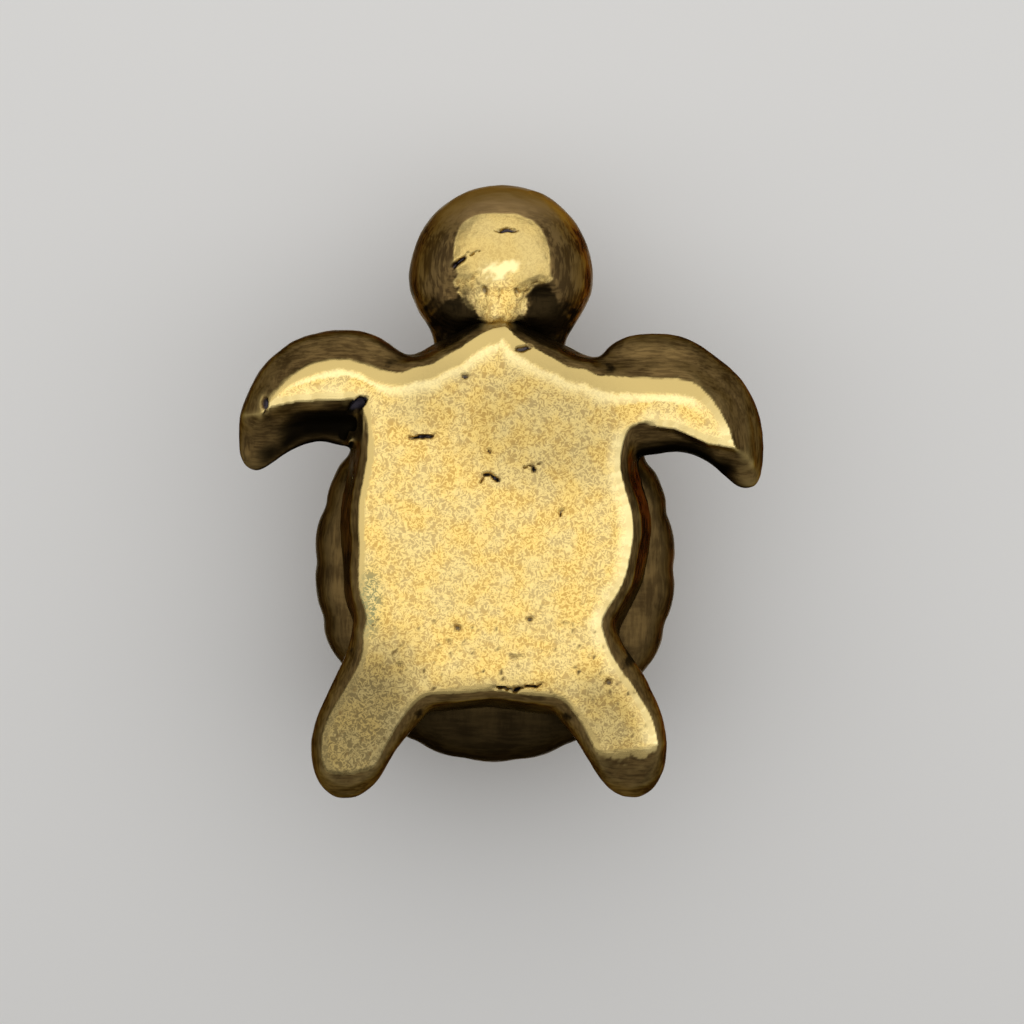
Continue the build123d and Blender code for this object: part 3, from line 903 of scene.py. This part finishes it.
class TURTLE_OT_head(bpy.types.Operator):
    """Ball head and neck, rubbed bright underneath with a painted reflection there, parted at the neck's seam
    """

    bl_idname = "turtle.head"
    bl_label = "Head and neck"

    def execute(self, context):
        sizes = settings()[0]
        make_groups()
        low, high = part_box("head")
        centre_y = (low.y + (high.x - low.x) / 2) * MM
        head = bench_copy("head", "head", "neck")
        skin(head, sizes.head_step, 10)
        self.shape_throat(head, high.y * MM)
        spots, normals = read(head.data), read(head.data, "normal")
        everywhere = weigh(head, "waves", np.ones(len(spots)))
        sink(head, clouds("head_waves", 1.9, 2), sizes.wave_depth, everywhere)
        rubbed, grainy, shine, painted_shade_and_grime = self.masks(spots, normals, centre_y)
        sink(head, clouds("throat_grain", 0.3, 2), sizes.grain_depth * 2, weigh(head, "grain", grainy))
        under = ease(0.1, 0.4, -normals[:, 2])
        depths = flaw_depths(spots, HEAD_FLAWS) * under
        shift(head, "flaws", depths, -sizes.flaw_depth * MM)

        x, y, z = spots.T
        # Painted shade on the ball's half towards the neck; at the throat, grime in its pits with painted
        # shade round them
        painted_shade_and_grime += (0.2 * wander(spots, 0.7) + 0.16 * wander(spots, 0.3)) * ease(-0.2, 0.4, y - centre_y)
        for dark_x, dark_y, wide, long, strength in THROAT_SHADE_AND_GRIME:
            painted_shade_and_grime += strength * np.exp(-(((x - dark_x) / wide) ** 2) - ((y - dark_y) / long) ** 2)
        painted_shade_and_grime = 0.52 * ease(0.1, 1.05, painted_shade_and_grime) * under
        # Pale patina tone over the whole head, and a painted sheen on the front of the ball
        tone_and_sheen = np.maximum(0.8 * ease(-11.6, -13.2, y) * ease(4.6, 2.2, z), 0.12)
        marks = {"grainy": grainy, "shine": shine, "flaw": depths, "tone_and_sheen": tone_and_sheen}
        keep_marks(head, painted_shade_and_grime, rubbed, carving=0.7, **marks)
        neck = duplicate(head, "neck")
        part_off(neck, "head", False)
        part_off(head, "head", True)
        finish = brass("head_brass", 6.0, 1.5)
        for node, piece in (("head", head), ("neck", neck)):
            hand_over(piece, node, finish)
        return {"FINISHED"}

    @staticmethod
    def shape_throat(head, seam_y):
        """Soften the seam and the throat's hollows, the right one most, and lay the tongue on the plate."""
        sizes = settings()[0]
        x, y, z = read(head.data).T
        flow = ease(1.7, 0.7, np.abs(y - seam_y))
        for side, rounds in ((-1, 700), (1, 220)):
            hollow = np.hypot(x - 1.85 * side, y + 8.5)
            flow = np.maximum(flow * (side < 0), ease(2.0, 1.3, hollow) * ease(3.0, 2.2, z))
            smooth(head, f"flow_{rounds}", flow, rounds)
        x, y, z = read(head.data).T
        tongue = ease(1.2, 0.3, np.hypot(x + 0.05, y + 7.9)) * ease(1.6, 0.9, z)
        shift(head, "tongue_down", tongue, -sizes.tongue_drop * MM, "Z")
        shift(head, "tongue_back", tongue, sizes.tongue_reach * MM, "Y")

    @staticmethod
    def masks(spots, normals, centre_y):
        """Where the head is rubbed bright, with a painted reflection on its patch, its throat is grainy, a
        painted highlight lies on its ridge, and painted shade and grime darken it.
        """
        across, along = spots[:, 0], spots[:, 1] - centre_y
        wobble = 0.05 * np.sin(3.1 * along + 1) + 0.03 * np.sin(7.3 * across)
        wobble = wobble + 0.03 * np.sin(11 * along + 5 * across)
        power = np.where(across < 0, 3.4, 2.6)
        round_end = (np.abs(across) / 2.2) ** power + (np.clip(-0.4 - along, 0, None) / 2.3) ** power
        to_right = across - np.interp(along, *zip(*PATCH_RIGHT))
        to_left = np.interp(along, *zip(*PATCH_LEFT)) - across
        ragged = 0.12 * wander(spots, 0.7) + 0.09 * wander(spots, 0.27)
        wobble = wobble + ragged * ease(-0.4, 0.4, along)
        inside = np.minimum(to_right, to_left) + wobble * ease(-0.6, 0.4, along)
        rounded = ease(1.06, 0.97, round_end + 0.4 * wobble)
        # The rubbed patch: a ground flat of bright brass, with a painted reflection of a bright window in its
        # shape
        patch = np.where(along < -0.4, rounded, ease(-0.06, 0.08, inside))
        tongue = ease(1.0, 0.6, np.abs(across)) * ease(1.7, 2.0, along) * ease(1.5, 1.0, spots[:, 2])
        under = np.maximum(ease(0.25, 0.5, -normals[:, 2]), tongue)
        # Painted shade beside the rubbed patch and on the ball's lower sides (chin)
        start = np.where(across < 0, 1.1, 0.3)
        beside = 0.6 * ease(-1.5, -0.1, inside) * ease(start, start + 0.5, along)
        chin = 0.9 * ease(0.2, 1.9, along) * ease(1.1, 2.0, np.abs(across))
        throat = patch * ease(-0.2, 0.7, along + 0.45 * wander(spots, 1.4) + 0.25 * wander(spots, 0.45))
        # Painted highlight on the rubbed patch, near the ball's centre
        shine = np.hypot((across - 0.03) / 0.85, (along + 0.1 + 0.25 * across) / 0.4)
        shine = ease(1.2, 0.5, shine + 0.4 * wander(spots, 0.9) + 0.3 * wander(spots, 0.33))
        grainy = np.maximum(throat, 0.3 * patch)
        return patch * under, grainy * under, 0.8 * shine * under, (beside + chin) * (1 - patch)


class TURTLE_OT_eyes(bpy.types.Operator):
    """The two bead eyes"""

    bl_idname = "turtle.eyes"
    bl_label = "Eyes"

    def execute(self, context):
        sizes = settings()[0]
        make_groups()
        finish = brass("eye_brass", 3.0, 0.6)
        for node in ("left_eye", "right_eye"):
            eye = bench_copy(node, node)
            skin(eye, sizes.eye_step, 6)
            keep_marks(eye)
            hand_over(eye, node, finish)
        return {"FINISHED"}


class TURTLE_OT_stage(bpy.types.Operator):
    """Pale floors, soft lamps, room and camera"""

    bl_idname = "turtle.stage"
    bl_label = "Stage"

    def execute(self, context):
        stage = settings()[2]
        scene = bpy.context.scene
        scene.view_settings.view_transform = "Standard"
        self.floor("rest_floor", -FLOOR_GAP, False)
        self.floor("photo_floor", CAD_BOX[1].z, True)
        for name, lamp in LAMPS.items():
            self.softbox(name, *lamp)
        self.room()

        camera = bpy.data.objects.new("camera", bpy.data.cameras.new("camera"))
        scene.collection.objects.link(camera)
        camera.location = (*VIEW_CENTRE, -stage.distance)
        camera.rotation_euler = (math.pi, 0, stage.lean)
        camera.data.sensor_width = 36.0
        camera.data.lens = camera.data.sensor_width * stage.distance / stage.field
        camera.data.clip_start = 0.001
        scene.camera = camera
        return {"FINISHED"}

    @staticmethod
    def floor(name, height, facing_down):
        """Pale floor that shows from its front only and shuts off no lamp."""
        colours = settings()[1]
        bpy.ops.object.select_all(action="DESELECT")
        bpy.ops.mesh.primitive_plane_add(size=4.0, location=(0, 0, height))
        floor = bpy.context.view_layer.objects.active
        floor.name = name
        if facing_down:
            bpy.ops.object.mode_set(mode="EDIT")
            bpy.ops.mesh.flip_normals()
            bpy.ops.object.mode_set(mode="OBJECT")
        material = bpy.data.materials.new(name)
        material.use_nodes = True
        tree = material.node_tree
        shader = tree.nodes["Principled BSDF"]
        shader.inputs["Base Color"].default_value = rgba(colours.floor)
        shader.inputs["Roughness"].default_value = 0.9
        shader.inputs["Specular IOR Level"].default_value = 0.0
        clear = place_node(tree, "ShaderNodeBsdfTransparent").outputs[0]
        behind = place_node(tree, "ShaderNodeNewGeometry").outputs["Backfacing"]
        sockets = {0: behind, 1: shader.outputs[0], 2: clear}
        shown = place_node(tree, "ShaderNodeMixShader", sockets).outputs[0]
        tree.links.new(shown, tree.nodes["Material Output"].inputs["Surface"])
        floor.data.materials.append(material)
        floor.visible_diffuse = floor.visible_glossy = False
        floor.visible_transmission = floor.visible_shadow = False

    @staticmethod
    def softbox(name, place, turn, size, share):
        """Wide soft lamp of an even brightness, not seen itself."""
        stage = settings()[2]
        lamp = bpy.data.lights.new(name, "AREA")
        lamp.shape = "RECTANGLE"
        lamp.size, lamp.size_y = size
        lamp.energy = math.pi * size[0] * size[1] * stage.lamp_level * share
        holder = bpy.data.objects.new(name, lamp)
        bpy.context.scene.collection.objects.link(holder)
        holder.location = place
        holder.rotation_euler = turn
        holder.visible_camera = False

    @staticmethod
    def room():
        """Dim room light, and pale surroundings where they are seen or mirrored."""
        _, colours, stage = settings()
        world = bpy.data.worlds.new("room")
        bpy.context.scene.world = world
        world.use_nodes = True
        tree = world.node_tree
        path = place_node(tree, "ShaderNodeLightPath")
        seen = calc(tree, "ADD", path.outputs["Is Camera Ray"], path.outputs["Is Glossy Ray"])
        seen = calc(tree, "ADD", seen, path.outputs["Is Transmission Ray"])
        shade = tint(tree, seen, rgba((stage.fill_level,) * 3), rgba(colours.backdrop))
        tree.links.new(shade, tree.nodes["Background"].inputs["Color"])


OPERATORS = (TURTLE_OT_underbody, TURTLE_OT_shell, TURTLE_OT_head, TURTLE_OT_eyes, TURTLE_OT_stage)


class TURTLE_PT_panel(bpy.types.Panel):
    """Lists the turtle's pieces and settings"""

    bl_idname = "TURTLE_PT_panel"
    bl_label = "Cast brass turtle"
    bl_space_type = "VIEW_3D"
    bl_region_type = "UI"
    bl_category = "Turtle"

    def draw(self, context):
        for operator in OPERATORS:
            self.layout.operator(operator.bl_idname)
        for group in settings():
            box = self.layout.box()
            for key in group.__annotations__:
                box.prop(group, key)


GROUPS = {"turtle_sizes": TurtleSizes, "turtle_colours": TurtleColours, "turtle_stage": TurtleStage}
CLASSES = (*GROUPS.values(), *OPERATORS, TURTLE_PT_panel)


def register():
    for item in CLASSES:
        bpy.utils.register_class(item)
    for key, group in GROUPS.items():
        setattr(bpy.types.Scene, key, PointerProperty(type=group))


def unregister():
    for key in GROUPS:
        delattr(bpy.types.Scene, key)
    for item in reversed(CLASSES):
        bpy.utils.unregister_class(item)


def main():
    """Build everything in order."""
    register()
    bpy.ops.turtle.underbody()
    bpy.ops.turtle.shell()
    bpy.ops.turtle.head()
    bpy.ops.turtle.eyes()
    bpy.ops.turtle.stage()


if __name__ == "__main__":
    main()
